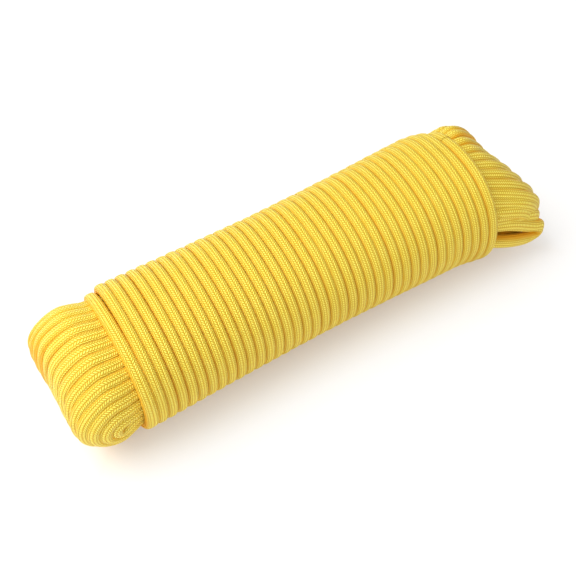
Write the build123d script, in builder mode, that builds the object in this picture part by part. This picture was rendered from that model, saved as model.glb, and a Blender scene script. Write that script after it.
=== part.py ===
from build123d import *
import os
from functools import cache
from math import asin, cos, pi, radians, sin, sqrt, tan

# A hank of braided utility rope, laid up the way it is wound. The rope is one length: from
# its inner end it makes five layers of long loops, one over another, then climbs out and
# binds the bundle in a close spiral, and its outer end is tucked back under the last turns.
# Each node is one stretch of that rope, and stretches meet face to face.
# Frame: +X along the hank, +Y across it, +Z up, origin under its middle on the surface.

# Rope
rope_diameter = 4.0  # slack, as sold
turn_gap = 0.1  # between neighbouring binding turns
sheath_wall = 0.55  # braided sheath
core_strand_count = 7  # yarns inside the sheath, one in the middle of the others
core_clearance = 0.03
tip_length = 3.0  # melted end
tip_dome = 0.8

# Binding turns, measured to the middle of the rope at the waist of the hank
turn_count = 37
turn_pitch = 4.08
binding_start = 72.6  # middle of the underside, where the first whole turn starts
bind_half_width = 24.8
bind_half_height = 22.9
swell_slope = 0.026  # how much fatter the bundle gets per mm from the waist
bow_share = 0.65  # how far it bows to the front meanwhile, as a share of the swell

# Bundle of long loops
layer_count = 5
strand_pitch = 3.5  # across a layer, where the binding squeezes the rope
strand_gap = 0.1
layer_pitch = 3.6  # from one layer to the next
fold_spread = 1.16  # how much further apart strands are where one fold nests in another
fold_cut = 13.0  # how far the corners of a fold are cut off
fold_share = 0.62  # the same for small folds, as a share of their size
slack_step = 1.0  # each layer further in leaves the squeezed bundle this much earlier
bind_clearance = 0.38  # between the outer layer and the binding
left_spread = 23.14  # from the edge of the binding to the middle of the outermost strand
right_spread = 30.1
right_slant = 0.2  # how fast the right-hand end draws in to the back
right_crown = -18.0  # where across the hank it starts to
right_square = 0.3  # how far its round section has got square at the tip
right_twist = 10.0  # degrees that it has turned by there, the front down and the back up
right_sag = 2.4  # how far it has sunk by there
left_swell = 6.0  # how much fatter the loose ends are than the squeezed waist
right_swell = 1.9
left_fan = 2.2  # how far the loose ends lie to the back of the edges of the binding
right_fan = -1.0
front_spread = 25.9  # the same for the open loop at the front of the right-hand end
front_stand = 3.8  # how far it stands off the loops behind it
front_gape = 1.6  # how much further its two legs stand apart, each way
front_lead = (3.5, 13.0)  # where it starts and ends to stand off, past the first turn
transfer_dip = 0.85  # how far a strand drops, in strand pitches, to pass to the next layer

# Lead into the binding and tucked outer end
lead_reach = 7.5  # how far the rope swings out past the first turn
lead_rise = 0.3  # how far it stands out over the loops that it crosses
lead_climb = 4.5  # how far it has climbed where it is furthest out
tuck_reach = 8.5  # the same past the last turn
tuck_rise = 2.6
tuck_height = 11.0  # straight stretch down the back of the bundle
row_clearance = 0.12  # round the end tucked in between the strands at the back
row_lead = 10.0  # tucked rope before the stretch that shows sheath and core apart
inner_end = 60.0  # from the middle of the hank to the inner end
detail_length = 28.0  # stretch of each end that shows sheath and core apart

# Derived sizes
bend_share = 0.45  # part of the shorter run that a bend takes up
straight_within = 0.3  # degrees
turn_diameter = rope_diameter - turn_gap
strand_diameter = strand_pitch - strand_gap
binding_end = binding_start - turn_count * turn_pitch
left_reach = left_spread - binding_end
right_reach = binding_start + right_spread
front_reach = binding_start + front_spread
bind_corner = bend_share * 2 * bind_half_height
first_inset = (turn_diameter + strand_diameter) / 2 + bind_clearance
eye = strand_pitch  # from the level of the axis to the first strand beside it
axis_height = turn_diameter / 2 + bind_half_height

os.makedirs("parts", exist_ok=True)


def swell(x):
    """Growth of the binding at x, a shallow vee with a long bend at the waist."""
    bend = bend_share * binding_start
    if abs(x) < bend:
        return swell_slope * (bend + x * x / bend) / 2
    return swell_slope * abs(x)


def corner_at(inset):
    """Corner radius of the bundle's section at an inset from the binding."""
    return max(bind_corner - inset, 0.3)


def half_girth(inset):
    """Way round the section from the front to the back of the hank."""
    corner = corner_at(inset)
    flat_side = bind_half_height - inset - corner
    flat_top = bind_half_width - inset - corner
    return 2 * flat_side + 2 * flat_top + pi * corner


def section_point(inset, walked):
    """Y and Z of a point on the upper half of the section, walked from its front."""
    corner = corner_at(inset)
    half_width = bind_half_width - inset
    flat_side = bind_half_height - inset - corner
    flat_top = half_width - corner
    middle = half_girth(inset) / 2
    from_edge = min(walked, 2 * middle - walked)
    if from_edge < flat_side:
        y, z = half_width, from_edge
    elif from_edge < flat_side + pi / 2 * corner:
        turned = (from_edge - flat_side) / corner
        y = flat_top + corner * cos(turned)
        z = flat_side + corner * sin(turned)
    else:
        y = middle - from_edge
        z = flat_side + corner
    return (-y if walked < middle else y), z


def layer_inset(layer):
    """Inset of a layer at the waist; layer 0 is the outermost."""
    return first_inset + layer * layer_pitch


def clear_spacing(corner):
    """Way along a bend of this radius that keeps two strands a strand pitch apart."""
    if corner * pi / 2 > strand_pitch:
        return 2 * corner * asin(strand_pitch / (2 * corner))
    return strand_pitch * sqrt(2) - (2 - pi / 2) * corner


def loops_in(layer):
    """Loops that fit side by side in a layer at the waist."""
    inset = layer_inset(layer) - swell(0)
    room = half_girth(inset) - 2 * eye
    return int(room / clear_spacing(corner_at(inset))) + 1


def growth(x):
    """Growth of the long loops at x, beyond the binding as well."""
    if binding_end < x < binding_start:
        return swell_slope * abs(x)
    if x < 0:
        edge, end_reach, end_swell = -binding_end, left_reach, left_swell
    else:
        edge, end_reach, end_swell = binding_start, right_reach, right_swell
    beyond = (abs(x) - edge) / (end_reach - edge)
    return swell_slope * edge + (end_swell - swell_slope * edge) * beyond


def lean(x):
    """How far the bundle lies to the back at x."""
    edge = min(max(x, binding_end), binding_start)
    fan = left_fan / (left_reach + binding_end) if x < 0 else right_fan / (right_reach - binding_start)
    return fan * abs(x - edge) - bow_share * swell_slope * abs(edge)


def past_binding(x):
    """How far x is from the right-hand edge of the binding to the tip of the end, 0 to 1."""
    return min(max((x - binding_start) / right_spread, 0), 1)


def squared(y, z, x):
    """Y of a point of the section once the loose end beyond the binding has got square."""
    across, up = y / bind_half_height, z / bind_half_height
    rest = 2 + across * across - up * up
    twice = 2 * sqrt(2) * across
    square = (sqrt(max(rest + twice, 0)) - sqrt(max(rest - twice, 0))) / 2
    return y + right_square * past_binding(x) * (square * bind_half_height - y)


def settled(point):
    """Where a point of the long loops lies once the right-hand end has turned and sunk."""
    beyond = past_binding(point.X)
    turned = radians(right_twist) * beyond
    level = axis_height - swell_slope * binding_end
    across, up = point.Y - lean(point.X), point.Z - level
    y = lean(point.X) + across * cos(turned) - up * sin(turned)
    z = level + up * cos(turned) + across * sin(turned)
    return Vector(point.X, y, z - right_sag * beyond)


def seat(layer, place, x, upper):
    """Point of a strand: its place counts loops from the side where the layer starts."""
    grown = growth(x)
    inset = layer_inset(layer) - grown
    spacing = (half_girth(inset) - 2 * eye) / (loops_in(layer) - 1)
    y, z = section_point(inset, eye + place * spacing)
    y = squared(y, z, x)
    y = (y if layer % 2 == 0 else -y) + lean(x)
    if layer == 0 and place < 0.5 and x > binding_start:
        lead_start, lead_stop = front_lead
        share = (x - binding_start - lead_start) / (lead_stop - lead_start)
        y -= front_stand * min(max(share, 0), 1)
        z += front_gape * min(max(share, 0), 1)
    lift = min(grown, swell_slope * -binding_end)
    return Vector(x, y, axis_height + lift + (z if upper else -z))


@cache
def reach_of(layer, place, side):
    """How far out a loop folds: it nests inside the fold beside it and the layer outside."""
    if (layer, place, side) == (0, 0, 1):
        return front_reach
    reach = left_reach if side < 0 else right_reach
    here = seat(layer, place, side * reach, True)
    around = []
    if layer > 0:
        around += [(layer - 1, other) for other in range(loops_in(layer - 1))]
    centre = (loops_in(layer) - 1) / 2
    if abs(centre - place) >= 1:
        around.append((layer, place + (1 if place < centre else -1)))
    limits = [reach - (right_slant * max(here.Y - right_crown, 0) if side > 0 else 0)]
    nest = fold_spread * strand_pitch
    for near in around:
        across = seat(*near, side * reach, True).Y - here.Y
        if (side < 0 or near[0] < layer) and abs(across) < nest:
            limits.append(reach_of(*near, side) - sqrt(nest**2 - across**2))
        elif abs(across) < strand_pitch:
            room = fold_spread * sqrt(strand_pitch**2 - across**2)
            limits.append(reach_of(*near, side) - room)
    return min(limits)


def edge_of(layer, side):
    """X where the loops of a layer start to spread."""
    return binding_start - layer * slack_step if side > 0 else binding_end + layer * slack_step


def fold(layer, place, side):
    """Corners of a fold, from the upper strand down to the lower one."""
    reach = side * reach_of(layer, place, side)
    top = seat(layer, place, reach, True)
    bottom = seat(layer, place, reach, False)
    room = min((top.Z - bottom.Z) / 2, abs(reach - edge_of(layer, side)))
    cut = min(fold_cut, fold_share * room)
    return [
        seat(layer, place, reach - side * cut, True),
        top - Vector(0, 0, cut),
        bottom + Vector(0, 0, cut),
        seat(layer, place, reach - side * cut, False),
    ]


def stations_of(layer, loop):
    """Where the loops of a layer may bend between their folds, from left to right."""
    stations = [edge_of(layer, -1), 0, edge_of(layer, 1)]
    if (layer, loop) == (0, 0):
        stations += [binding_start + lead for lead in front_lead]
    return stations


def upper_run(layer, loop):
    """Left fold to right fold over the top, straight along the hank."""
    return [
        *fold(layer, loop, -1)[1::-1],
        *[seat(layer, loop, x, True) for x in stations_of(layer, loop)],
        *fold(layer, loop, 1)[:2],
    ]


def lower_run(layer, loop):
    """Right fold to left fold underneath, drifting to the next loop's place."""
    length = left_reach + right_reach
    stations = reversed(stations_of(layer, loop))
    return [
        *fold(layer, loop, 1)[2:],
        *[seat(layer, loop + (right_reach - x) / length, x, False) for x in stations],
        *fold(layer, loop + 1, -1)[:1:-1],
    ]


def transfer_run(layer):
    """Underneath from the last loop of a layer to the first of the layer outside it."""
    last = loops_in(layer) - 1
    side = 1 if layer % 2 == 0 else -1
    points = fold(layer, last, 1)[2:]
    stations = reversed(stations_of(layer, last))
    for x, share, dip in zip(stations, (0, 0.5, 1), (0.6, 1, 0.6)):
        inset = layer_inset(layer) - share * layer_pitch - growth(x)
        y, z = section_point(inset, eye - dip * transfer_dip * strand_pitch)
        points.append(Vector(x, lean(x) - side * y, axis_height + growth(x) - z))
    return points + fold(layer - 1, 0, -1)[:1:-1]


def between(start, end, share):
    return start + (end - start) * share


def bend_radii(points, halved):
    """Each bend is as large as its two runs allow; halved ends are cut halfway along a run."""
    runs = [after - before for before, after in zip(points, points[1:])]
    lengths = [run.length for run in runs]
    lengths[0] *= 2 if halved[0] else 1
    lengths[-1] *= 2 if halved[1] else 1
    radii = []
    for spot, (arriving, leaving) in enumerate(zip(runs, runs[1:])):
        half_turn = radians(arriving.get_angle(leaving)) / 2
        radii.append(bend_share * min(lengths[spot : spot + 2]) / tan(half_turn))
    return radii


def real_corners(points):
    """The points without those where the rope runs on as good as straight."""
    kept = [points[0]]
    for here, after in zip(points[1:], points[2:]):
        if (here - kept[-1]).get_angle(after - here) > straight_within:
            kept.append(here)
    return kept + [points[-1]]


def rope_path(points, halved=(True, True)):
    corners = real_corners(points)
    with BuildLine() as line:
        FilletPolyline(*corners, radius=bend_radii(corners, halved))
    return line.wires()[0]


def add_rope(points, diameter, halved=(True, True)):
    """A solid stretch of rope along straight runs joined by tangent bends."""
    path = rope_path(points, halved)
    with BuildSketch(Plane(origin=path @ 0, z_dir=path % 0)) as section:
        Circle(diameter / 2)
    sweep(section.sketch, path=path)


def loop_cuts(layer):
    """The layer's rope, cut into loops halfway along the left half of each lower run."""
    count = loops_in(layer)
    cuts = []
    arriving = transfer_run(layer + 1) if layer + 1 < layer_count else None
    for loop in range(count):
        upper = upper_run(layer, loop)
        if loop + 1 < count:
            leaving = lower_run(layer, loop)
        elif layer > 0:
            leaving = transfer_run(layer)
        else:
            leaving = None
        if arriving:
            points = [between(arriving[-4], arriving[-3], 0.5), *arriving[-3:], *upper[:5]]
        else:
            points = [inner_detail_end, *upper[3:5]]
        if leaving:
            points += [*upper[5:], *leaving[:-3], between(leaving[-4], leaving[-3], 0.5)]
        else:
            points = points[:-1] + [between(upper[3], upper[4], 0.5)]
        cuts.append([settled(point) for point in points])
        arriving = leaving
    return cuts


def bind_point(x, across, upper):
    """Point on the square that a binding turn is bent from; across runs from -1 to 1."""
    grown = swell(x)
    y = across * (bind_half_width + grown) - bow_share * grown
    z = axis_height + grown + (1 if upper else -1) * (bind_half_height + grown)
    return Vector(x, y, z)


def turn_points(turn):
    """One binding turn, from the middle of the underside up the back and round."""
    start = binding_start - turn * turn_pitch
    quarter = turn_pitch / 4
    return [
        bind_point(start, 0, False),
        bind_point(start - quarter / 2, 1, False),
        bind_point(start - quarter * 3 / 2, 1, True),
        bind_point(start - quarter * 5 / 2, -1, True),
        bind_point(start - quarter * 7 / 2, -1, False),
        bind_point(start - turn_pitch, 0, False),
    ]


def save(builder, name):
    builder.part.label = name
    export_step(builder.part, f"parts/{name}.step")


def make_rope_end(name, start, along):
    """The last stretch of the rope: braided sheath, straight core strands, melted tip."""
    bore = strand_diameter / 2 - sheath_wall
    core_radius = bore / 3 - core_clearance
    section = Plane(origin=start, z_dir=along)
    with BuildPart() as sheath:
        with BuildSketch(section) as ring:
            Circle(strand_diameter / 2)
            Circle(bore, mode=Mode.SUBTRACT)
        extrude(ring.sketch, amount=detail_length)
    save(sheath, f"{name}_sheath")
    with BuildPart() as core:
        with BuildSketch(section) as strands:
            Circle(core_radius)
            with PolarLocations(bore * 2 / 3, core_strand_count - 1):
                Circle(core_radius)
        extrude(strands.sketch, amount=detail_length)
    save(core, f"{name}_core_strands")
    tip_plane = Plane(origin=start + along * detail_length, z_dir=along)
    with BuildPart() as tip:
        with BuildSketch(tip_plane) as disc:
            Circle(strand_diameter / 2)
        extrude(disc.sketch, amount=tip_length)
        fillet(tip.edges().sort_by(tip_plane.location.z_axis)[-1], tip_dome)
    save(tip, f"{name}_tip")


# Inner end of the rope: it lies straight inside the innermost layer
inner_layer = layer_count - 1
inner_waist = seat(inner_layer, 0, 0, True)
inner_edge = seat(inner_layer, 0, binding_end, True)
inner_tip_start = between(inner_waist, inner_edge, inner_end / -binding_end)
inner_along = (inner_waist - inner_edge).normalized()
inner_detail_start = inner_tip_start + inner_along * tip_length
inner_detail_end = inner_detail_start + inner_along * detail_length

# Lead: the last loop comes out under the binding at the back and turns up over the bundle
last_run = upper_run(0, loops_in(0) - 1)
lead_out = seat(0, loops_in(0) - 1, binding_start, True)
lead_back = bind_point(binding_start, 1, True) + Vector(0, lead_rise, 0)
corner_cut = bind_corner * tan(pi / 8)
rounded = (bind_half_width - bind_corner + corner_cut) / bind_half_width
lead_points = [
    between(last_run[3], last_run[4], 0.5),
    lead_out,
    Vector(binding_start + lead_reach * 0.8, lead_back.Y - lead_rise, lead_out.Z),
    Vector(binding_start + lead_reach, lead_back.Y, lead_out.Z + lead_climb),
    lead_back + Vector(lead_reach * 0.6, 0, corner_cut - bind_corner),
    bind_point(binding_start + turn_pitch * 0.7, rounded, True),
]
lead_end = between(lead_points[4], lead_points[5], 0.5)
first_turn_points = [
    lead_end,
    lead_points[5],
    bind_point(binding_start + turn_pitch * 3 / 8, -1, True),
    bind_point(binding_start + turn_pitch * 1 / 8, -1, False),
    bind_point(binding_start, 0, False),
]

# Outer end: after the last turn it hooks back under the binding, in the gap between the
# upper and the lower strands at the back
row_inset = first_inset + row_clearance
row_waist = Vector(0, bind_half_width - row_inset, axis_height - 2 * row_clearance)
row_along = Vector(binding_end, (bow_share - 1) * swell_slope * binding_end, -swell_slope * binding_end)
row_edge = row_waist + row_along
outer_along = row_along.normalized() * -1
outer_detail_start = row_edge + outer_along * row_lead
tuck_back = bind_point(binding_end - turn_pitch / 8, 1, False)
last_turn_points = [
    bind_point(binding_end, 0, False),
    tuck_back,
    Vector(binding_end - tuck_reach, tuck_back.Y + tuck_rise, row_edge.Z - tuck_height),
    Vector(binding_end - tuck_reach, tuck_back.Y + tuck_rise, row_edge.Z),
    row_edge,
    outer_detail_start,
]
last_turn_end = between(last_turn_points[1], last_turn_points[2], 0.5)

# Five layers of long loops, named from the inside out
for layer in reversed(range(layer_count)):
    with BuildPart() as loops:
        for points in loop_cuts(layer):
            add_rope(points, strand_diameter)
    save(loops, f"loop_layer_{layer_count - layer}")

with BuildPart() as lead:
    add_rope([*lead_points[:-1], lead_end], strand_diameter)
save(lead, "lead_to_binding")

with BuildPart() as first_turn:
    add_rope(first_turn_points, turn_diameter)
save(first_turn, "binding_start_turn")

for turn in range(turn_count):
    with BuildPart() as binding_turn:
        add_rope(turn_points(turn), turn_diameter)
    save(binding_turn, f"binding_turn_{turn + 1:02d}")

with BuildPart() as last_turn:
    add_rope([*last_turn_points[:2], last_turn_end], turn_diameter)
save(last_turn, "binding_end_turn")

with BuildPart() as tuck:
    add_rope([last_turn_end, *last_turn_points[2:]], strand_diameter, (True, False))
save(tuck, "tucked_end")

make_rope_end("inner_end", inner_detail_end, inner_along * -1)
make_rope_end("outer_end", outer_detail_start, outer_along)
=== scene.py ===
from functools import cache
from math import asin, ceil, copysign, cos, exp, hypot, pi, sin, sqrt

import bpy
from bpy.props import FloatProperty, FloatVectorProperty, IntProperty, PointerProperty
from mathutils import Euler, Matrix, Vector, noise


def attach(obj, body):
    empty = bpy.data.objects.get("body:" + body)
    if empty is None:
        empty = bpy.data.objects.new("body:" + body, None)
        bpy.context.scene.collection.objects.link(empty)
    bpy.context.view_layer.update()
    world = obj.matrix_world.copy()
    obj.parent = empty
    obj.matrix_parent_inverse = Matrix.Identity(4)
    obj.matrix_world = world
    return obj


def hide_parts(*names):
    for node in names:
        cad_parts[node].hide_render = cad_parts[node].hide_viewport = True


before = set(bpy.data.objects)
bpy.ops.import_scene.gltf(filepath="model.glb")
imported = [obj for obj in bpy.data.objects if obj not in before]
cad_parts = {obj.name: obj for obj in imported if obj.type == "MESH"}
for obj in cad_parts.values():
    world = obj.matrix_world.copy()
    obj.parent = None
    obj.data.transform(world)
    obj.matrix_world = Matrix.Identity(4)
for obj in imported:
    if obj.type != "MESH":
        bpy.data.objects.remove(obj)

# A hank of braided rope. One length makes five layers of long loops, comes out at the right,
# binds the bundle in a close spiral and is tucked in at the left.
# All of it runs on one smooth line, which is cut into stretches that ride on the hank.

bl_info = {
    "name": "Hank of Braided Rope",
    "version": (1, 0, 0),
    "blender": (4, 5, 0),
    "location": "3D View > Sidebar > Hank",
    "description": "Lays up a hank of braided rope with its binding",
    "category": "Object",
}


def number(name, text, default, unit="NONE", digits=4):
    return FloatProperty(name=name, description=text, default=default, unit=unit, precision=digits)


def size(name, text, default):
    return number(name, text, default, "LENGTH", 5)


def whole(name, text, default):
    return IntProperty(name=name, description=text, default=default)


def colour(name, text, default):
    return FloatVectorProperty(
        name=name, description=text, default=default, size=4, min=0, max=1, subtype="COLOR"
    )


class RopeSizes(bpy.types.PropertyGroup):
    """The rope itself"""

    diameter: size("Diameter", "Across the slack rope", 0.004)
    squeezed: size("Squeezed", "Across the rope inside the binding", 0.0034)
    loose: size("Loose", "Thickness in the free ends of the hank", 0.0042)
    widest: size("Widest", "Most that it widens there", 0.0052)
    press: number("Press", "Width of a binding turn over the room it has", 1.05)
    spill: number("Spill", "The same for a long loop beyond the binding", 1.2)
    sheath_wall: size("Sheath wall", "Thickness of the braided sheath", 0.00055)
    core_strands: whole("Core strands", "Yarns inside the sheath", 7)
    core_lay: size("Core lay", "Length of one turn of a core strand", 0.026)
    columns: whole("Braid columns", "Of stitches, round the sheath", 16)
    stitch: size("Stitch", "Length of one stitch of the braid", 0.00096)
    tip: size("Tip", "Length of the melted end", 0.003)
    shown_end: size("Opened end", "Of each end, with sheath and core apart", 0.034)
    sides: whole("Sides", "Facets round the rope", 24)


class BindingSizes(bpy.types.PropertyGroup):
    """The turns that bind the hank"""

    turns: whole("Turns", "Whole turns of the binding", 37)
    points: whole("Points a turn", "Route points in a turn", 16)
    pitch: size("Pitch", "From one turn to the next", 0.00408)
    start: size("Start", "Where the first whole turn starts", 0.0726)
    half_width: size("Half width", "From the middle of the hank to a turn's", 0.0248)
    half_height: size("Half height", "The same, upwards", 0.0229)
    swell_slope: number("Swell", "How fast it gets fatter from the waist", 0.026)
    bow_share: number("Bow", "Bow to the front over the swell", 0.65)
    crowding: size("Crowding", "Push of the middle turns to the right", 0.002)
    stray: size("Stray", "How far the last turn stands off at the top", 0.0007)
    dip: size("Dip", "How far it has sunk there", 0.0014)
    fat: number("Fat", "How much wider it lies", 0.24)
    slump: size("Slump", "How far the lower front is pressed in", 0.0019)
    slump_slope: number("Slump slope", "How much more it is to the left", 0.006)
    unevenness: size("Unevenness", "Of the turns", 0.00022)


class LoopSizes(bpy.types.PropertyGroup):
    """The long loops inside the binding"""

    layers: whole("Layers", "Layers of loops", 5)
    strand_pitch: size("Strand pitch", "Across a layer, inside the binding", 0.0035)
    strand_gap: size("Strand gap", "Between squeezed strands", 0.0001)
    layer_pitch: size("Layer pitch", "From one layer to the next", 0.0036)
    fold_spread: number("Fold spread", "How much further apart the folds are", 1.16)
    fold_cut: size("Fold cut", "Cut off the corners of a fold", 0.013)
    fold_share: number("Small fold", "The same, over the size of a small fold", 0.62)
    slack_step: size("Slack step", "How much earlier each inner layer spreads", 0.001)
    clearance: size("Clearance", "From the outer layer to the binding", 0.00038)
    left_reach: size("Left reach", "To the outermost strand at the left", 0.1006)
    right_reach: size("Right reach", "To the outermost strand at the right", 0.1027)
    right_slant: number("Right slant", "How it draws in to the back", 0.38)
    right_crown: size("Right crown", "Where across the hank that starts", -0.018)
    right_level: size("Right level", "How far across it goes on", 0.026)
    back_pinch: size("Back pinch", "Press of the first turns, at the top", 0.0019)
    back_bump: size("Back bump", "Bulge of the loops beyond them", 0.0022)
    left_swell: size("Left swell", "How much fatter the left-hand end is", 0.006)
    right_swell: size("Right swell", "The same for the right-hand end", 0.0019)
    left_fan: size("Left fan", "How far the left-hand end lies to the back", 0.0015)
    right_fan: size("Right fan", "The same for the right-hand end", -0.001)
    front_reach: size("Front loop", "Reach of the open loop at the front", 0.1)
    front_stand: size("Front stand", "How far it stands off the others", 0.0038)
    front_gape: size("Front gape", "How much further its legs stand apart", 0.0023)
    mouth: size("Mouth", "Where the loops come up beyond the binding", 0.0045)
    least_fold: size("Least fold", "Least length of a fold past the mouth", 0.0052)
    bulge: size("Bulge", "How far they bulge there", 0.0007)
    transfer_dip: number("Transfer dip", "Drop to the next layer, in strand pitches", 0.85)
    right_twist: number("Right twist", "Turn of that end, in radians", 0.3)
    right_square: number("Right squareness", "How square that end is", 0.55)
    right_flat: number("Right flatness", "How flat that end is", 0.2)
    right_sag: size("Right sag", "How far that end has sunk", 0.0024)
    unevenness: size("Unevenness", "Of the folds", 0.0004)


class RopeColours(bpy.types.PropertyGroup):
    """Yarn and plastic"""

    yarn: colour("Yarn", "Sheath yarn", (1.0, 0.81, 0.02, 1))
    # Painted shade in the hollows between the stitches; the same colour is also the darker random
    # tone of the yarn
    stitch_shade_and_mottle: colour("Hollow", "Between the stitches", (0.58, 0.27, 0.0, 1))
    # Painted highlight on the crowns of the stitches, where the light catches them
    crown_highlight: colour("Pale", "Worn crowns of the stitches", (1.0, 0.94, 0.21, 1))
    # Painted shade, warm orange, on the sides of the rope where it lies deep between its
    # neighbours
    groove_shade: colour("Flank", "Sides of the rope, deep between strands", (1.0, 0.45, 0.0, 1))
    core: colour("Core", "Core strands", (0.88, 0.86, 0.78, 1))
    melted: colour("Melted", "Melted end", (0.52, 0.28, 0.02, 1))
    floor: colour("Floor", "Floor and backdrop", (0.96, 0.94, 0.92, 1))
    # Painted shadow: the floor turns darker and warmer close to the hank, for its shadow and the
    # yellow light it throws back
    painted_floor_shadow: colour("Near floor", "Floor close to the hank", (0.9, 0.74, 0.55, 1))


class StageSizes(bpy.types.PropertyGroup):
    """Floor, camera and lamps"""

    turn: number("Turn", "Camera's way round", 0.5529, "ROTATION")
    tilt: number("Tilt", "Camera's look down", 0.9952, "ROTATION")
    distance: size("Distance", "From the camera to its aim", 0.45429)
    aim: size("Aim", "Where along the hank the camera aims", 0.0085)
    lens: number("Lens", "Focal length, in mm", 68.91)
    shift_x: number("Shift across", "Of the view, in widths", -0.04337)
    shift_y: number("Shift up", "Of the view, in widths", 0.01727)
    # Reach of the painted shadow on the floor round the hank
    inner: size("Hank", "Half the length of what darkens the floor", 0.075)
    near: size("Near", "From there to where it gets lighter", 0.010)
    far: size("Far", "From there to the floor's own colour", 0.038)
    veil: number("Veil", "Light that the floor shows the camera", 0.62)
    near_veil: number("Near veil", "The same close to the hank", 0.16)
    key: number("Key lamp", "Power", 7.7, "POWER")
    fill: number("Fill lamp", "Power", 2.0, "POWER")
    sky: number("Sky", "Light from all round", 0.55)


# The bundle's section
TURN_SQUASH = 0.0001  # How much thinner a turn lies than the slack rope
CORNER_SHARE = 0.9  # Corner radius over half the height
WAIST_SHARE = 0.45  # Share of the binding's half length in which the waist is curved
LEAST_CORNER = 0.0003
LOOPS_RADIUS = 0.0225  # Of all the long loops together
LOOPS_LIFT = 0.0019  # Of the ends of the loops, above the waist

# The open loop stands off from so far beyond the binding, and over that length
FRONT_OPENS, FRONT_RAMP = 0.0035, 0.0095

# Share of the way to the next layer, and of its dip, at each station of a transfer
TRANSFER = ((0, 0.6), (0, 0.6), (0.5, 1), (1, 0.6), (1, 0.6))

# Dents: their corner of the section, and their place along the hank
BACK_CORNER, BACK_PUSH = (0.6, 0.8), (0, 0.5, 0.85)
PINCH_AT, PINCH_WIDTH = 0.0735, 0.0055
BUMP_AT, BUMP_WIDTH = 0.0845, 0.007
FRONT_CORNER = (-0.8, -0.6)
SLUMP_SHORT, SLUMP_FADE = 0.01, 0.012  # Short of the right-hand edge
LEAST_ARM = 0.001  # Keeps the middle in place
CORNER_POWER = 5  # Keeps a dent to its corner

# Where the turns are crowded most, and how far off that ends
CROWD_AT, CROWD_REACH = -0.017, 0.089
# The last turn is loose so many turns before its end, for so many
LOOSE_FROM, LOOSE_TURNS = 0.9, 0.6

# Unevenness: waves and steps between the places it is read at
NOISE_SEED = 1
LOOP_WAVES, LOOP_STEP = 60, 3.7
TURN_STEP, TURN_PLACE = 2.3, (5.1, 0.7)
TURN_STAND = 0.5  # Share that makes a turn stand off
SEED_POINTS = 18  # Route points that share a step

# Ends. A share is of the way round, from the middle of the underside.
HIGH_BACK, LOW_BACK = 0.375, 0.125
INNER_END = 0.06  # From the waist
KNOT_APART = 0.006  # Of the route points round a cut
TUCK_START, TUCK_LENGTH = -0.002, 0.038
TUCK_INSET, TUCK_DROP = 0.00012, 0.00024
HOOK_OUT = 0.001
LEAD_OUT = ((0.0035, -0.0025, 0.0005), (0.0045, -0.0025, 0.0055))
LEAD_ON = ((-0.66, (0, -0.0022, -0.0005)), (-0.60, (0, -0.0012, -0.0010)))
HOOK = ((-0.0050, 0, -0.013), (-0.0085, 0, -0.0085), (-0.0080, -0.001, -0.0005))

# How the rope is cut into stretches
HALF_RUN = 4  # Route points of a run on either side of its waist
LOOPS_A_STRETCH = (3, 5, 11, 8, 4)  # By layer, from the outermost
TURNS_A_STRETCH = 5
LINE_STEPS = 12  # Points of the line per route point

# The open loop at the front of the right-hand end, from its upper leg to its lower one
FRONT_LOOP = (
    (0.0765, -0.0246, 0.0302),
    (0.0855, -0.0263, 0.0272),
    (0.0950, -0.0271, 0.0202),
    (0.1001, -0.0275, 0.0178),
    (0.1009, -0.0277, 0.0142),
    (0.0970, -0.0281, 0.0122),
    (0.0868, -0.0282, 0.0165),
    (0.0770, -0.0262, 0.0208),
)


def clamp(share):
    return min(max(share, 0), 1)


def hump(x, middle, width):
    return exp(-(((x - middle) / width) ** 2))


def stepped(base, steps):
    """Points at steps from a base"""
    return [Vector([here + off for here, off in zip(base, step)]) for step in steps]


def quarter_point(half_width, half_height, corner, walked):
    """Y and Z on a quarter of a box with round corners, walked up from the end of its width"""
    flat_side, flat_top = half_height - corner, half_width - corner
    turned = (walked - flat_side) / corner
    if turned < 0:
        return half_width, walked
    if turned < pi / 2:
        return flat_top + corner * cos(turned), flat_side + corner * sin(turned)
    return flat_top - (turned - pi / 2) * corner, half_height


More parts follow.
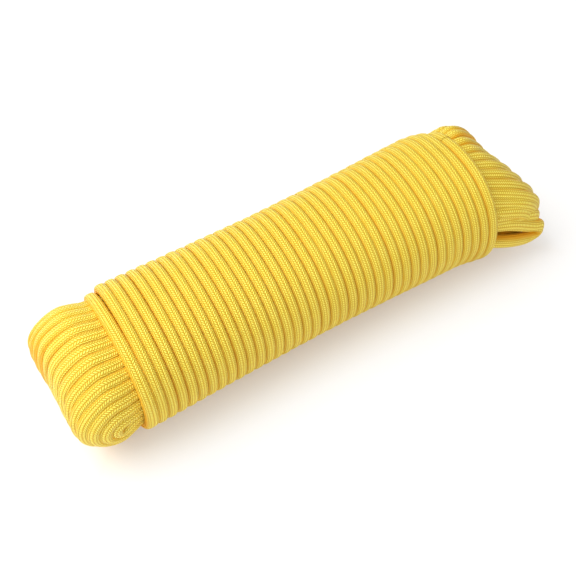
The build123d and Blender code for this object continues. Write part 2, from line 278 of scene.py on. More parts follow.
class Route:
    """Where the rope runs. Layer 0 is the outermost; a place counts strands across a layer."""

    def __init__(self, scene):
        self.rope = scene.rope_sizes
        self.bind = scene.binding_sizes
        self.loops = scene.loop_sizes
        bind, loops = self.bind, self.loops
        self.turn_diameter = self.rope.diameter - TURN_SQUASH
        self.start, self.end = bind.start, bind.start - bind.turns * bind.pitch
        self.corner = CORNER_SHARE * bind.half_height
        strand = loops.strand_pitch - loops.strand_gap
        self.first_inset = (self.turn_diameter + strand) / 2 + loops.clearance
        self.axis = self.turn_diameter / 2 + bind.half_height
        self.reaches = {}
        noise.seed_set(NOISE_SEED)

    def swell(self, x):
        bend = WAIST_SHARE * self.start
        if abs(x) < bend:
            return self.bind.swell_slope * (bend + x * x / bend) / 2
        return self.bind.swell_slope * abs(x)

    def end_at(self, x):
        """Edge of the binding, reach, swell and fan of the loops on that side"""
        loops = self.loops
        if x < 0:
            return self.end, -loops.left_reach, loops.left_swell, loops.left_fan
        return self.start, loops.right_reach, loops.right_swell, loops.right_fan

    def beyond(self, x):
        """How far past the binding, as a share of the way to the end"""
        edge, reach, _, _ = self.end_at(x)
        return (x - edge) / (reach - edge)

    # Section of the bundle

    def corner_at(self, inset):
        return max(self.corner - inset, LEAST_CORNER)

    def half_girth(self, inset):
        corner = self.corner_at(inset)
        flat_side = self.bind.half_height - inset - corner
        flat_top = self.bind.half_width - inset - corner
        return 2 * flat_side + 2 * flat_top + pi * corner

    def section_point(self, inset, walked):
        """Y and Z on the upper half of the section, walked from its front"""
        middle = self.half_girth(inset) / 2
        half_width, half_height = self.bind.half_width - inset, self.bind.half_height - inset
        from_edge = min(walked, 2 * middle - walked)
        y, z = quarter_point(half_width, half_height, self.corner_at(inset), from_edge)
        return (-y if walked < middle else y), z

    def boxed(self, y, z, x):
        """Beyond the binding, at the right, the round section gets flat and square"""
        loops = self.loops
        share = clamp(self.beyond(x)) if x > 0 else 0
        across, up = y / LOOPS_RADIUS, z / LOOPS_RADIUS
        rest = 2 + across * across - up * up
        twice = 2 * sqrt(2) * across
        square = (sqrt(max(rest + twice, 0)) - sqrt(max(rest - twice, 0))) / 2
        y += loops.right_square * share * (square * LOOPS_RADIUS - y)
        return y, z * (1 - loops.right_flat * share)

    def layer_inset(self, layer):
        return self.first_inset + layer * self.loops.layer_pitch

    def clear_spacing(self, corner):
        pitch = self.loops.strand_pitch
        if corner * pi / 2 > pitch:
            return 2 * corner * asin(pitch / (2 * corner))
        return pitch * sqrt(2) - (2 - pi / 2) * corner

    @cache
    def loops_in(self, layer):
        inset = self.layer_inset(layer) - self.swell(0)
        room = self.half_girth(inset) - 2 * self.loops.strand_pitch
        return int(room / self.clear_spacing(self.corner_at(inset))) + 1

    def growth(self, x):
        edge, _, swell, _ = self.end_at(x)
        slope, past = self.bind.swell_slope, self.beyond(x)
        if past < 0:
            return slope * abs(x)
        bound = slope * abs(edge)
        bulge = self.loops.bulge * sin(pi * sqrt(clamp(past)))
        return bound + (swell - bound) * past + bulge

    def lean(self, x):
        edge, _, _, fan = self.end_at(x)
        bow = self.bind.bow_share * self.bind.swell_slope
        return fan * max(self.beyond(x), 0) - bow * min(abs(x), abs(edge))

    def spacing(self, layer, x):
        """From one strand of a layer to the next"""
        room = self.half_girth(self.layer_inset(layer) - self.growth(x))
        return (room - 2 * self.loops.strand_pitch) / (self.loops_in(layer) - 1)

    def seat(self, layer, place, x, upper):
        """Point of a strand inside or beyond the binding"""
        loops = self.loops
        grown = self.growth(x)
        inset = self.layer_inset(layer) - grown
        walked = loops.strand_pitch + place * self.spacing(layer, x)
        y, z = self.section_point(inset, walked)
        y, z = self.boxed(y, z, x)
        y = (y if layer % 2 == 0 else -y) + self.lean(x)
        if layer == 0 and place < 0.5 and x > self.start:
            share = clamp((x - self.start - FRONT_OPENS) / FRONT_RAMP)
            y -= loops.front_stand * share
            z += loops.front_gape * share
        lift = min(grown, self.bind.swell_slope * -self.end)
        return Vector((x, y, self.axis + lift + (z if upper else -z)))

    # Long loops

    def reach_of(self, layer, place, side):
        """How far out a loop folds: inside the fold beside it and the layer outside"""
        key = layer, place, side
        if key not in self.reaches:
            self.reaches[key] = self.find_reach(layer, place, side)
        return self.reaches[key]

    def find_reach(self, layer, place, side):
        loops = self.loops
        if (layer, place, side) == (0, 0, 1):
            return loops.front_reach
        reach = loops.left_reach if side < 0 else loops.right_reach
        here = self.seat(layer, place, side * reach, True)
        beside_open_loop = (layer, place, side) == (0, 1, 1)
        around = []
        if layer > 0:
            around += [(layer - 1, other) for other in range(self.loops_in(layer - 1))]
        centre = (self.loops_in(layer) - 1) / 2
        if abs(centre - place) >= 1 and not beside_open_loop:
            around.append((layer, place + (1 if place < centre else -1)))
        back = min(max(here.y - loops.right_crown, 0), loops.right_level)
        drawn = loops.right_slant * back if side > 0 else 0
        limits = [reach - drawn / (1 + layer)]
        if beside_open_loop:
            limits.append(loops.front_reach)
        for near in around:
            across = self.seat(*near, side * reach, True).y - here.y
            if abs(across) < loops.strand_pitch:
                room = sqrt(loops.strand_pitch**2 - across**2)
                limits.append(self.reach_of(*near, side) - loops.fold_spread * room)
        return max(min(limits), abs(self.edge_of(layer, side)) + loops.mouth + loops.least_fold)

    def edge_of(self, layer, side):
        step = layer * self.loops.slack_step
        return self.start - step if side > 0 else self.end + step

    def fold(self, layer, place, side):
        reach = side * self.reach_of(layer, place, side)
        top = self.seat(layer, place, reach, True)
        bottom = self.seat(layer, place, reach, False)
        straight = abs(reach - self.edge_of(layer, side)) - self.loops.mouth
        room = min((top.z - bottom.z) / 2, straight)
        cut = min(self.loops.fold_cut, self.loops.fold_share * room)
        down = Vector((0, 0, cut))
        inner = reach - side * cut
        return [
            self.seat(layer, place, inner, True),
            top - down,
            bottom + down,
            self.seat(layer, place, inner, False),
        ]

    def stations_of(self, layer, loop):
        left, right, mouth = self.edge_of(layer, -1), self.edge_of(layer, 1), self.loops.mouth
        beyond = [right + mouth]
        if (layer, loop) == (0, 0):
            opens = self.start + FRONT_OPENS
            beyond = [opens, opens + FRONT_RAMP]
        return [left - mouth, left, 0, right, *beyond]

    def upper_run(self, layer, loop):
        return [
            *self.fold(layer, loop, -1)[1::-1],
            *[self.seat(layer, loop, x, True) for x in self.stations_of(layer, loop)],
            *self.fold(layer, loop, 1)[:2],
        ]

    def lower_run(self, layer, loop):
        right = self.loops.right_reach
        length = self.loops.left_reach + right
        stations = reversed(self.stations_of(layer, loop))
        return [
            *self.fold(layer, loop, 1)[2:],
            *[self.seat(layer, loop + (right - x) / length, x, False) for x in stations],
            *self.fold(layer, loop + 1, -1)[:1:-1],
        ]

    def transfer_run(self, layer):
        """Underneath, from the last loop of a layer to the first of the one outside it"""
        loops = self.loops
        last = self.loops_in(layer) - 1
        side = 1 if layer % 2 == 0 else -1
        points = self.fold(layer, last, 1)[2:]
        stations = reversed(self.stations_of(layer, last))
        for x, (share, dip) in zip(stations, TRANSFER):
            inset = self.layer_inset(layer) - share * loops.layer_pitch - self.growth(x)
            walked = loops.strand_pitch * (1 - dip * loops.transfer_dip)
            y, z = self.section_point(inset, walked)
            points.append(Vector((x, self.lean(x) - side * y, self.axis + self.growth(x) - z)))
        return points + self.fold(layer - 1, 0, -1)[:1:-1]

    def settle(self, point, step):
        """Beyond the binding the loops are uneven, and have turned and sunk at the right"""
        loops = self.loops
        x, y, z = point
        past = clamp(self.beyond(x))
        right = past if x > 0 else 0
        turned = loops.right_twist * right
        across, up = y - self.lean(x), z - self.axis - LOOPS_LIFT
        y = self.lean(x) + across * cos(turned) - up * sin(turned)
        z = self.axis + LOOPS_LIFT + up * cos(turned) + across * sin(turned)
        z -= loops.right_sag * right
        shake = noise.noise_vector(Vector((x * LOOP_WAVES, step * LOOP_STEP, z * LOOP_WAVES)))
        return Vector((x, y, z)) + shake * past * loops.unevenness

    def press(self, point):
        """At the right the first turns press in the top of the back, and the loops bulge out"""
        x, y, z = point
        across, up = y - self.lean(x), z - self.axis - LOOPS_LIFT
        corner = (BACK_CORNER[0] * across + BACK_CORNER[1] * up) / LOOPS_RADIUS
        pinch = self.loops.back_pinch * hump(x, PINCH_AT, PINCH_WIDTH)
        bump = self.loops.back_bump * hump(x, BUMP_AT, BUMP_WIDTH)
        return point + Vector(BACK_PUSH) * (bump - pinch) * clamp(corner) ** CORNER_POWER

    def slump(self, point):
        """The lower front of the hank is flatter, more so towards the left"""
        x, y, z = point
        middle = self.axis + self.swell(min(max(x, self.end), self.start))
        across, up = y - self.lean(x), z - middle
        towards = FRONT_CORNER[0] * across + FRONT_CORNER[1] * up
        facing = max(towards, 0) / max(hypot(across, up), LEAST_ARM)
        past = max(self.end - x, x - self.start + SLUMP_SHORT, 0) / SLUMP_FADE
        depth = (self.bind.slump - self.bind.slump_slope * x) * max(1 - past, 0)
        pull = 1 - depth / self.bind.half_width * facing**CORNER_POWER
        return Vector((x, self.lean(x) + across * pull, middle + up * pull))

    # Binding

    def round_point(self, x, share, stand=0):
        """Point on the binding, share of the way round from the middle of the underside"""
        grown = self.swell(x)
        wide = 1 / cos(pi / self.bind.points)
        half_width = (self.bind.half_width + grown + stand) * wide
        half_height = (self.bind.half_height + grown + stand) * wide
        corner = (self.corner + CORNER_SHARE * grown) * wide
        quarter = half_width + half_height + (pi / 2 - 2) * corner
        turned, walked = divmod(share % 1 * 4 * quarter, quarter)
        walked = walked if turned % 2 else quarter - walked
        y, z = quarter_point(half_width, half_height, corner, walked)
        y = y if turned < 2 else -y
        z = z if 0 < turned < 3 else -z
        resting = self.rope.diameter / 2
        return Vector((x, y - self.bind.bow_share * grown, max(self.axis + grown + z, resting)))

    def wound_point(self, turned):
        """The same, counted in turns from the start of the first whole one"""
        bind = self.bind
        x = bind.start - turned * bind.pitch
        x += bind.crowding * max(1 - ((x - CROWD_AT) / CROWD_REACH) ** 2, 0)
        off = (turned - bind.turns + LOOSE_FROM) / LOOSE_TURNS
        loosened = sin(pi * off) ** 2 if 0 < off < 1 else 0
        x -= bind.stray * loosened
        shake = noise.noise_vector(Vector((turned * TURN_STEP, *TURN_PLACE))) * bind.unevenness
        stand = TURN_STAND * shake.y - bind.dip * loosened
        return self.round_point(x + shake.x, turned, stand)

    def wound_run(self):
        """The binding, from the top of the turn before the first whole one"""
        count = self.bind.points
        steps = range(-count // 2 - 1, self.bind.turns * count + 1)
        return [self.wound_point((step + 0.5) / count) for step in steps]

    # Ends

    def inner_end_run(self):
        """The opened inner end in the innermost layer, and the rope that follows it"""
        layer = self.loops.layers - 1
        waist = self.seat(layer, 0, 0, True)
        edge = self.seat(layer, 0, self.end, True)
        along = (waist - edge).normalized()
        start = waist.lerp(edge, INNER_END / -self.end) + along * self.rope.tip
        cut = self.rope.shown_end
        return [start + along * walked for walked in (0, cut - KNOT_APART, cut + KNOT_APART)]

    def lead_run(self):
        """Out under the binding at the back and up over the loops"""
        start = self.start
        out = self.seat(0, self.loops_in(0) - 1, start, True)
        back = self.round_point(start, HIGH_BACK).y
        return [
            out,
            *stepped((start, back, out.z), LEAD_OUT),
            *[self.wound_point(turned) + Vector(step) for turned, step in LEAD_ON],
        ]

    def tuck_run(self):
        """From the last turn back under the binding, into the row at the back"""
        bind, end = self.bind, self.end
        inset = self.first_inset + TUCK_INSET
        waist = Vector((0, bind.half_width - inset, self.axis - TUCK_DROP))
        slope = bind.swell_slope * -end
        edge = waist + Vector((end, (1 - bind.bow_share) * slope, slope))
        along = (waist - edge).normalized()
        hook = self.round_point(end, LOW_BACK).y + HOOK_OUT
        cut = TUCK_LENGTH - self.rope.shown_end
        knots = (TUCK_START, cut - KNOT_APART, cut + KNOT_APART, TUCK_LENGTH)
        return stepped((end, hook, edge.z), HOOK) + [edge + along * walked for walked in knots]

    # The whole rope. A cut is a stretch's name, its group, its CAD nodes and its last point.

    def lay_loops(self, points, cuts):
        """Adds the long loops, from the innermost layer, up to the last waist"""
        layers, front = self.loops.layers, 0
        for layer in reversed(range(layers)):
            count, share = self.loops_in(layer), LOOPS_A_STRETCH[layer]
            for loop in range(count):
                if (layer, loop) == (0, 0):
                    front = len(points) + HALF_RUN + 2
                upper = self.upper_run(layer, loop)
                points += upper[HALF_RUN:] if (layer, loop) == (layers - 1, 0) else upper
                if loop + 1 < count:
                    points += self.lower_run(layer, loop)
                elif layer:
                    points += self.transfer_run(layer)
                if (loop + 1) % share == 0 or loop + 1 == count:
                    name = f"loops_layer_{layers - layer}_part_{loop // share + 1}"
                    nodes = [f"loop_layer_{layers - layer}"]
                    cuts.append((name, f"layer {layer}", nodes, len(points) - HALF_RUN - 1))
        settled = enumerate(points[:-HALF_RUN])
        points[:] = [self.settle(point, spot // SEED_POINTS) for spot, point in settled]
        points[front : front + len(FRONT_LOOP)] = [Vector(point) for point in FRONT_LOOP]

    def wind_binding(self, points, cuts):
        """Adds the binding, and presses it and the loops in"""
        turns, count = self.bind.turns, self.bind.points
        first = len(points) + count // 2
        points[:] = [self.slump(self.press(point)) for point in points + self.wound_run()]
        for turn in range(0, turns, TURNS_A_STRETCH):
            last = min(turn + TURNS_A_STRETCH, turns)
            nodes = [f"binding_turn_{one + 1:02d}" for one in range(turn, last)]
            nodes += ["binding_start_turn"] if turn == 0 else []
            name = f"binding_turns_{turn + 1:02d}_to_{last:02d}"
            cuts.append((name, "binding", nodes, first + last * count))

    def stretches(self):
        """All of the rope as named stretches of one smooth line, from the inner end"""
        points = self.inner_end_run()
        cuts = [("inner_end", "end", ["inner_end_sheath"], 1)]
        self.lay_loops(points, cuts)
        points += self.lead_run()
        cuts.append(("lead", "lead", ["lead_to_binding"], len(points) - 1))
        self.wind_binding(points, cuts)
        points += self.tuck_run()
        cuts.append(("tuck", "tuck", ["binding_end_turn", "tucked_end"], len(points) - 3))
        line = read_line(points)
        walked = [0.0]
        for here, after in zip(line, line[1:]):
            walked.append(walked[-1] + (after - here).length)
        made, begun = [], 0
        for name, group, nodes, mark in cuts:
            ended = round(mark * (len(line) - 1) / (len(points) - 2))
            made.append((name, group, nodes, line[begun : ended + 1], walked[begun]))
            begun = ended
        made.append(("outer_end", "end", ["outer_end_sheath"], line[begun:], walked[begun]))
        return made


def read_line(points):
    """The smooth line of a route, as the points of its own spline"""
    curve = bpy.data.curves.new("rope_line", "CURVE")
    curve.dimensions = "3D"
    spline = curve.splines.new("NURBS")
    spline.points.add(len(points) - 1)
    for knot, point in zip(spline.points, points):
        knot.co = (*point, 1)
    spline.order_u = 3
    spline.use_endpoint_u = True
    spline.resolution_u = LINE_STEPS
    context = bpy.context
    holder = bpy.data.objects.new("rope_line", curve)
    context.collection.objects.link(holder)
    context.view_layer.update()
    evaluated = holder.evaluated_get(context.evaluated_depsgraph_get())
    shape = bpy.data.meshes.new_from_object(evaluated)
    line = [vertex.co.copy() for vertex in shape.vertices]
    bpy.data.objects.remove(holder)
    bpy.data.curves.remove(curve)
    bpy.data.meshes.remove(shape)
    return line


def line_length(line):
    return sum((after - here).length for here, after in zip(line, line[1:]))


SQUARENESS = 0.74  # Of the rope's section, between round, 1, and square, 0
BAKE_EDGE, ROW_EDGE = 0.004, 0.04  # Margins of the bake map, and of a row of it
CAP_AT, CAP_RADIUS = 0.0015, 0.001  # The end caps in its corner


def squarish(share):
    """Cosine or sine of a turn on the rope's section"""
    return copysign(abs(share) ** SQUARENESS, share)


def tube_sides(first, sides, distances):
    """Faces round a tube whose rings start at vertex first, and their flat strip"""
    faces, strip = [], []
    for ring, (v, z) in enumerate(zip(distances, distances[1:])):
        low, high = first + ring * sides, first + (ring + 1) * sides
        for side in range(sides):
            after = (side + 1) % sides
            faces.append((low + side, low + after, high + after, high + side))
            u, w = side / sides, (side + 1) / sides
            strip += [u, v, w, v, w, z, u, z]
    return faces, strip


def finished_mesh(name, vertices, faces, maps, flat=0):
    """A mesh with its UV maps, smooth but for the last flat faces"""
    mesh = bpy.data.meshes.new(name)
    mesh.from_pydata(vertices, [], faces)
    for title, places in maps.items():
        mesh.uv_layers.new(name=title).data.foreach_set("uv", places)
    mesh.polygons.foreach_set("use_smooth", [True] * (len(faces) - flat) + [False] * flat)
    mesh.update()
    return mesh


def rope_mesh(name, line, section, sides, walked):
    """A tube along a line. section gives half its width and thickness and the way it faces"""
    rings, distances = [], [walked]
    for spot, here in enumerate(line):
        before, after = line[max(spot - 1, 0)], line[min(spot + 1, len(line) - 1)]
        along = (after - before).normalized()
        if spot:
            distances.append(distances[-1] + (here - line[spot - 1]).length)
        half_width, half_thick, out = section(here)
        out = (out - along * out.dot(along)).normalized()
        rings.append((here, out * half_thick, along.cross(out) * half_width))
    turned = [2 * pi * side / sides for side in range(sides)]
    around = [(squarish(cos(t)), squarish(sin(t))) for t in turned]
    vertices = [p + a * out + b * beside for p, a, b in rings for out, beside in around]
    faces, strip = tube_sides(0, sides, distances)
    rows = max(1, round(sqrt((distances[-1] - walked) / (2 * pi * section(line[0])[0]))))
    per_row, baked = ceil((len(rings) - 1) / rows), []
    for ring in range(len(rings) - 1):
        row, column = divmod(ring, per_row)
        wide, high = 1 - 2 * BAKE_EDGE, 1 - 2 * ROW_EDGE
        left, right = (BAKE_EDGE + wide * step / per_row for step in (column, column + 1))
        for side in range(sides):
            shares = side / sides, (side + 1) / sides
            under, over = ((row + ROW_EDGE + high * share) / rows for share in shares)
            baked += [left, under, left, over, right, over, right, under]
    for ring, turn in ((0, -1), (len(rings) - 1, 1)):
        faces.append([ring * sides + side for side in range(sides)][::turn])
        strip += [0, distances[ring]] * sides
        for t in turned[::turn]:
            baked += [CAP_AT + CAP_RADIUS * cos(t), CAP_AT + CAP_RADIUS * sin(t)]
    return finished_mesh(name, vertices, faces, {"Braid": strip, "OFBake": baked}, 2)


class Value:
    """A shader value that Python's operators work on"""

    def __init__(self, finish, socket):
        self.finish, self.socket = finish, socket

    def maths(self, operation, *others):
        return self.finish.add("ShaderNodeMath", {"operation": operation}, (self, *others))

    def __add__(self, other):
        return self.maths("ADD", other)

    def __sub__(self, other):
        return self.maths("SUBTRACT", other)

    def __mul__(self, other):
        return self.maths("MULTIPLY", other)

    def __truediv__(self, other):
        return self.maths("DIVIDE", other)

    def __pow__(self, other):
        return self.maths("POWER", other)

    def part(self):
        return self.maths("FRACT")

    def wave(self):
        """Up from 0 to 1 and back over each whole number"""
        return (self * pi).maths("SINE")


class Finish:
    """A material under construction"""

    def __init__(self, name, roughness, sheen=0.0, specular=0.5):
        self.material = bpy.data.materials.new(name)
        self.material.use_nodes = True
        self.nodes = self.material.node_tree.nodes
        self.links = self.material.node_tree.links
        self.shader = self.nodes["Principled BSDF"]
        self.shader.inputs["Roughness"].default_value = roughness
        self.shader.inputs["Specular IOR Level"].default_value = specular
        self.shader.inputs["Sheen Weight"].default_value = sheen

    def add(self, kind, settings, values, output=0):
        """A node of that type: its settings first, then its sockets, by place or name"""
        node = self.nodes.new(kind)
        for key, setting in settings.items():
            setattr(node, key, setting)
        for key, value in values.items() if isinstance(values, dict) else enumerate(values):
            if isinstance(value, Value):
                self.links.new(value.socket, node.inputs[key])
            else:
                node.inputs[key].default_value = value
        return Value(self, node.outputs[output])

    def mix(self, share, one, other):
        return self.add("ShaderNodeMix", {"data_type": "RGBA"}, {0: share, 6: one, 7: other}, 2)

    def split(self, vector, axis):
        return self.add("ShaderNodeSeparateXYZ", {}, [vector], axis)

    def strip(self):
        """How far round the rope, in turns, and how far along it"""
        strip = self.add("ShaderNodeUVMap", {"uv_map": "Braid"}, ())
        return self.split(strip, "X"), self.split(strip, "Y")

    def place(self):
        return self.add("ShaderNodeTexCoord", {}, (), "Object")

    def noise(self, scale, detail=2.0):
        values = {"Vector": self.place(), "Scale": scale, "Detail": detail}
        return self.add("ShaderNodeTexNoise", {}, values)

    def wire(self, value, name):
        self.links.new(value.socket, self.shader.inputs[name])

    def bump(self, height, distance, strength):
        values = {"Strength": strength, "Distance": distance, "Height": height}
        self.wire(self.add("ShaderNodeBump", {}, values), "Normal")


# A darker copy of a colour: painted shade on the core, scorch on the melted end
def shade_and_scorch_tone(tone, share):
    return tuple(share * channel for channel in tone[:3]) + (1.0,)


def braid_finish(scene):
    """Sheath braid: columns of slanted stitches that lean to either side by turns"""
    rope, colours = scene.rope_sizes, scene.rope_colours
    finish = Finish("braided_sheath", roughness=0.5, specular=0.3)
    turned, along = finish.strip()
    round_it, along = turned * rope.columns, along / rope.stitch
    odd = (round_it / 2).part().maths("GREATER_THAN", 0.5)
    slant = round_it.maths("PINGPONG", 1.0)
    stitch = (along + slant * 0.9 + odd * 0.5).part().wave()
    column = round_it.part().wave()
    relief = (stitch**0.8) * (column**0.6)
    mottle, cloudy = finish.noise(scale=260.0), finish.noise(scale=45.0)
    # Painted highlight: the crowns of the stitches paler, varied at random
    crown_highlight_share = (relief**2) * (mottle * 0.6 + 0.5)
    # Painted shade mask: strongest on the two sides of the rope, where it lies against its
    # neighbours
    sides = (turned * (2 * pi)).maths("SINE").maths("ABSOLUTE")
    # Painted shade: darker orange in the hollows between the stitches, where the relief is low
    yarn = finish.mix(relief, colours.stitch_shade_and_mottle, colours.yarn)
    yarn = finish.mix(crown_highlight_share, yarn, colours.crown_highlight)
    # Random cloudy tone of the yarn
    yarn = finish.mix(cloudy * 0.1, yarn, colours.stitch_shade_and_mottle)
    # Painted shade: warm orange on those sides
    yarn = finish.mix((sides**4) * 0.8, yarn, colours.groove_shade)
    finish.wire(yarn, "Base Color")
    finish.bump(relief, distance=0.0003, strength=1.0)
    return finish.material


def core_finish(scene):
    """Core strands: twisted light-coloured filaments, with painted shade in the grooves between
    them
    """
    finish = Finish("core_yarn", roughness=0.6, sheen=0.3, specular=0.3)
    round_it, along = finish.strip()
    twist = 0.0022
    filament = (round_it * 3 + along / twist).part().wave()
    fuzz = finish.noise(scale=1800.0)
    tone = scene.rope_colours.core
    # Painted shade: the filaments darker in the grooves between them, with random fuzz
    share = (filament**0.6) * 0.8 + fuzz * 0.2
    finish.wire(finish.mix(share, shade_and_scorch_tone(tone, 0.55), tone), "Base Color")
    finish.bump(filament + fuzz * 0.3, distance=0.00012, strength=0.7)
    return finish.material


def melted_finish(scene):
    """Melted end: fused sheath and core, darker where it has scorched"""
    finish = Finish("melted_end", roughness=0.28)
    runs = finish.noise(scale=900.0, detail=4.0)
    tone = scene.rope_colours.melted
    finish.wire(finish.mix(runs, shade_and_scorch_tone(tone, 0.3), tone), "Base Color")
    finish.bump(runs, distance=0.0002, strength=0.6)
    return finish.material


def paper_finish(scene):
    """Floor: painted shadow, warmer and darker close to the hank, and lit up to the camera further
    off
    """
    stage, colours = scene.stage_sizes, scene.rope_colours
    finish = Finish("floor_paper", roughness=0.9, specular=0.1)
    place = finish.place()
    endways = finish.split(place, "X").maths("ABSOLUTE") - stage.inner
    across = finish.split(place, "Y").maths("ABSOLUTE")
    apart = endways.maths("MAXIMUM", across)
    off = finish.add("ShaderNodeMapRange", {}, (apart, stage.near, stage.far))
    # Painted shadow: the floor colour darkens and warms towards the hank
    paper = finish.mix(off, colours.painted_floor_shadow, colours.floor)
    finish.wire(paper, "Base Color")
    glow = finish.add("ShaderNodeEmission", {}, ())
    veil = off * (stage.veil - stage.near_veil) + stage.near_veil
    seen = finish.add("ShaderNodeLightPath", {}, (), "Is Camera Ray") * veil
    paper = Value(finish, finish.shader.outputs[0])
    shown = finish.add("ShaderNodeMixShader", {}, {0: seen, 1: paper, 2: glow})
    output = finish.nodes["Material Output"]
    finish.links.new(shown.socket, output.inputs["Surface"])
    return finish.material


def finish_of(scene, name):
    """The material of that name, made when it is first asked for"""
    makers = {"sheath": braid_finish, "core_yarn": core_finish, "melted_end": melted_finish}
    made = scene.get("finishes") or {}
    if name not in made:
        material = makers[name](scene)
        scene["finishes"] = {**dict(made), name: material.name}
        return material
    return bpy.data.materials[made[name]]


def place_piece(context, name, mesh, slot, nodes):
    """Links a finished piece, lets it ride on the hank and hides the solids it stands for"""
    mesh.materials.append(finish_of(context.scene, slot))
    piece = bpy.data.objects.new(name, mesh)
    context.collection.objects.link(piece)
    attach(piece, "root")
    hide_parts(*nodes)
    return piece


def declare(piece, line):
    """Measures the length of the stretch's line, and keeps nothing of it"""
    line_length(line)


CORE_SIDES, CORE_STEPS = 10, 24
CORE_FILL = 0.97  # Thickness of a core strand over its room
MELT_SWELL, MELT_CUT = 1.03, 0.4  # Width over the rope's, and where the ball is cut off
MELT_WAVES, MELT_DENT = 900, 0.07
MELT_SIDES, MELT_RINGS = 24, 14


def core_mesh(name, line, bore, rope):
    """Core strands: one in the middle and the others laid round it"""
    along = (line[-1] - line[0]).normalized()
    over = along.orthogonal().normalized()
    beside = along.cross(over)
    thick, length = bore / 3, (line[-1] - line[0]).length
    distances = [length * step / CORE_STEPS for step in range(CORE_STEPS + 1)]
    vertices, faces, strip = [], [], []
    for strand in range(rope.core_strands):
        first = len(vertices)
        reach = bore * 2 / 3 if strand else 0
        for walked in distances:
            laid = 2 * pi * (strand / (rope.core_strands - 1) + walked / rope.core_lay)
            middle = line[0] + along * walked + (over * cos(laid) + beside * sin(laid)) * reach
            for side in range(CORE_SIDES):
                turned = laid + 2 * pi * side / CORE_SIDES
                out = over * cos(turned) + beside * sin(turned)
                vertices.append(middle + out * thick * CORE_FILL)
        strand_faces, strand_strip = tube_sides(first, CORE_SIDES, distances)
        faces += strand_faces
        for ring, turn in ((0, -1), (CORE_STEPS, 1)):
            start = first + ring * CORE_SIDES
            faces.append([start + side for side in range(CORE_SIDES)][::turn])
        strip += strand_strip + [0.0, 0.0] * CORE_SIDES * 2
    return finished_mesh(name, vertices, faces, {"Braid": strip})


def melted_tip(context, name, start, along, half, length):
    """Fused end of the rope: a rounded, slightly swollen and dented cap, cut from a ball"""
    ball = [(0, 0, -1), (0, 0, 1)]
    for ring in range(1, MELT_RINGS):
        z, out = -cos(pi * ring / MELT_RINGS), sin(pi * ring / MELT_RINGS)
        turns = (2 * pi * side / MELT_SIDES for side in range(MELT_SIDES))
        ball += [(out * cos(turn), out * sin(turn), z) for turn in turns]
    facing, vertices = along.to_track_quat("Z", "Y").to_matrix(), []
    for x, y, z in ball:
        up = (max(z, -MELT_CUT) + MELT_CUT) / (1 + MELT_CUT)
        point = Vector((x * half * MELT_SWELL, y * half * MELT_SWELL, up * length))
        point += noise.noise_vector(point * MELT_WAVES) * half * MELT_DENT
        vertices.append(start + facing @ point)
    faces, _ = tube_sides(2, MELT_SIDES, range(MELT_RINGS - 1))
    top = len(ball) - MELT_SIDES
    for side in range(MELT_SIDES):
        after = (side + 1) % MELT_SIDES
        faces += [(0, 2 + after, 2 + side), (1, top + side, top + after)]
    mesh = finished_mesh(name, vertices, faces, {})
    return place_piece(context, name, mesh, "melted_end", [name.replace("_melt", "_tip")])


FAT_FROM, FAT_RAMP = 0.004, 0.002  # Where the last turn gets wider, before the end
FACING_FROM, FACING_TO = -0.082, 0.078  # The folds face away from these places on the axis
FACING_UP = 0.075  # Up to here the strands face straight away from the axis
FREE_RAMP = 0.004  # Before the edge of the binding, where the rope gets free
FRONT_FACE, FRONT_WIDER, FRONT_THICKER = -0.0235, 1.2, 1.1  # The open loop's slack rope


def section_of(route, group):
    """Half the width and thickness of the rope at a point, and the way it faces"""
    rope, bind = route.rope, route.bind
    layer = int(group[-1]) if group.startswith("layer") else 0

    def bound_section(point):
        out = Vector((0, point.y, point.z - route.axis - route.swell(point.x)))
        last = clamp((route.end + FAT_FROM - point.x) / FAT_RAMP)
        return bind.pitch * rope.press / 2 * (1 + bind.fat * last), rope.diameter / 2, out

    def loop_section(point):
        out = point - Vector((min(max(point.x, FACING_FROM), FACING_TO), 0, route.axis))
        if abs(point.x) < FACING_UP:
            out.x = 0
        free = clamp(max(point.x - route.start, route.end - point.x) / FREE_RAMP + 1)
        thick = rope.squeezed + (rope.loose - rope.squeezed) * free
        wide = max(route.spacing(layer, point.x), route.loops.strand_pitch) * rope.spill
        wide = rope.squeezed + (min(wide, rope.widest) - rope.squeezed) * free
        if layer == 0 and point.x > 0 and point.y < FRONT_FACE:
            wide, thick = wide * FRONT_WIDER, thick * FRONT_THICKER
        return wide / 2, thick / 2, out

    def end_section(point):
        return rope.squeezed / 2, rope.squeezed / 2, Vector((0, 0, 1))

    return {"binding": bound_section, "end": end_section}.get(group, loop_section)


HIDDEN_LAYERS = ("layer 2", "layer 3", "layer 4")  # These have coarser meshes
HIDDEN_SIDES, END_SIDES = 12, 20


def lay_rope(context, kinds):
    """Makes the stretches of those kinds"""
    route = Route(context.scene)
    for name, group, nodes, line, walked in route.stretches():
        if group.split()[0] in kinds:
            section, sides = section_of(route, group), route.rope.sides
            if group in HIDDEN_LAYERS:
                line, sides = line[:-1:2] + line[-1:], HIDDEN_SIDES
            mesh = rope_mesh(name, line, section, sides, walked)
            declare(place_piece(context, name, mesh, "sheath", nodes), line)
    return {"FINISHED"}


class HANK_OT_long_loops(bpy.types.Operator):
    """Lays the five layers of long loops"""

    bl_idname = "hank.long_loops"
    bl_label = "Long loops"

    def execute(self, context):
        return lay_rope(context, ("layer",))


class HANK_OT_binding(bpy.types.Operator):
    """Winds the binding over the loops, from the lead at the right to the tuck at the left"""

    bl_idname = "hank.binding"
    bl_label = "Binding turns"

    def execute(self, context):
        return lay_rope(context, ("lead", "binding", "tuck"))


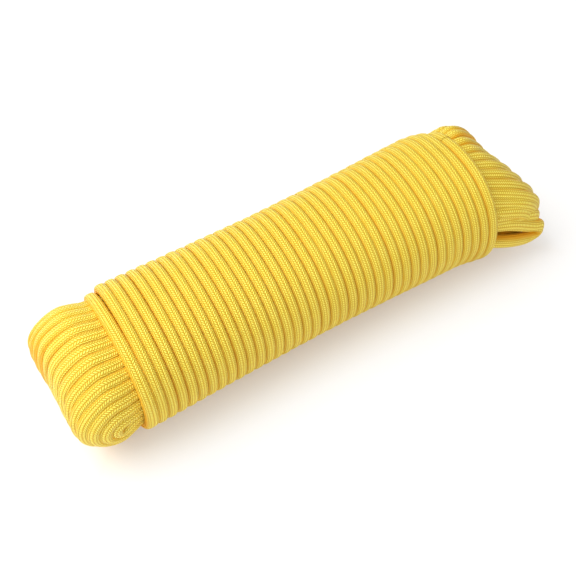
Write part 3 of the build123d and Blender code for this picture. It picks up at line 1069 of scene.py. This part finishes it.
class HANK_OT_rope_ends(bpy.types.Operator):
    """Makes the two ends that lie inside the hank, with sheath, core strands and melted tip"""

    bl_idname = "hank.rope_ends"
    bl_label = "Rope ends"

    def execute(self, context):
        route = Route(context.scene)
        rope = route.rope
        half = rope.squeezed / 2
        for name, group, nodes, line, walked in route.stretches():
            if group != "end":
                continue
            tip_at, inside = (line[-1], line[0]) if name == "outer_end" else (line[0], line[-1])
            along = (tip_at - inside).normalized()
            braid = rope_mesh(name, line, section_of(route, group), END_SIDES, walked)
            sheath = place_piece(context, f"{name}_braid", braid, "sheath", nodes)
            strands = core_mesh(name, line, half - rope.sheath_wall, rope)
            inner = [f"{name}_core_strands"]
            core = place_piece(context, f"{name}_core", strands, "core_yarn", inner)
            tip = melted_tip(context, f"{name}_melt", tip_at, along, half, rope.tip)
            declare(sheath, line)
        return {"FINISHED"}


FLOOR_SIZE, FLOOR_GAP = 6.0, 0.0002
CLIP_START = 0.01

# Name, setting with its power, width and place of each lamp
LAMPS = (
    ("key_lamp", "key", 0.7, (-0.38, 0.2, 0.68)),
    ("fill_lamp", "fill", 0.9, (-0.05, -0.8, 0.45)),
)


def set_camera(context, stage):
    turn, tilt = stage.turn, stage.tilt
    ahead = Vector((sin(turn) * cos(tilt), cos(turn) * cos(tilt), -sin(tilt)))
    camera = bpy.data.cameras.new("camera")
    camera.lens, camera.clip_start = stage.lens, CLIP_START
    camera.shift_x, camera.shift_y = stage.shift_x, stage.shift_y
    viewer = bpy.data.objects.new("camera", camera)
    viewer.location = Vector((stage.aim, 0, 0)) - ahead * stage.distance
    viewer.rotation_euler = Euler((pi / 2 - tilt, 0, -turn))
    context.collection.objects.link(viewer)
    context.scene.camera = viewer


def set_lamps(context, stage):
    for name, power, width, place in LAMPS:
        lamp = bpy.data.lights.new(name, "AREA")
        lamp.energy, lamp.size = getattr(stage, power), width
        holder = bpy.data.objects.new(name, lamp)
        holder.location = Vector(place)
        holder.rotation_euler = (-Vector(place)).to_track_quat("-Z", "Y").to_euler()
        context.collection.objects.link(holder)
    world = bpy.data.worlds.new("studio")
    world.use_nodes = True
    background = world.node_tree.nodes["Background"]
    background.inputs["Color"].default_value = (1, 1, 1, 1)
    background.inputs["Strength"].default_value = stage.sky
    context.scene.world = world


class HANK_OT_stage(bpy.types.Operator):
    """Sets the floor, the lamps and the camera"""

    bl_idname = "hank.stage"
    bl_label = "Stage"

    def execute(self, context):
        scene, stage = context.scene, context.scene.stage_sizes
        bpy.ops.object.select_all(action="DESELECT")
        bpy.ops.mesh.primitive_plane_add(size=FLOOR_SIZE, location=(0, 0, -FLOOR_GAP))
        floor = context.object
        floor.name = "floor"
        floor.data.materials.append(paper_finish(scene))
        set_camera(context, stage)
        set_lamps(context, stage)
        scene.view_settings.view_transform = "Standard"
        return {"FINISHED"}


class HANK_PT_panel(bpy.types.Panel):
    """Lists the steps that lay up the hank"""

    bl_label = "Hank"
    bl_idname = "HANK_PT_panel"
    bl_space_type = "VIEW_3D"
    bl_region_type = "UI"
    bl_category = "Hank"

    def draw(self, context):
        for step in STEPS:
            self.layout.operator(step.bl_idname)


STEPS = (HANK_OT_stage, HANK_OT_long_loops, HANK_OT_binding, HANK_OT_rope_ends)
GROUPS = {
    "rope_sizes": RopeSizes,
    "binding_sizes": BindingSizes,
    "loop_sizes": LoopSizes,
    "rope_colours": RopeColours,
    "stage_sizes": StageSizes,
}


def register():
    for cls in (*GROUPS.values(), *STEPS, HANK_PT_panel):
        bpy.utils.register_class(cls)
    for name, group in GROUPS.items():
        setattr(bpy.types.Scene, name, PointerProperty(type=group))


def unregister():
    for name in GROUPS:
        delattr(bpy.types.Scene, name)
    for cls in (HANK_PT_panel, *reversed(STEPS), *reversed(GROUPS.values())):
        bpy.utils.unregister_class(cls)


def main():
    register()
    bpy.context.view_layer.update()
    bpy.ops.hank.stage()
    bpy.ops.hank.long_loops()
    bpy.ops.hank.binding()
    bpy.ops.hank.rope_ends()


if __name__ == "__main__":
    main()
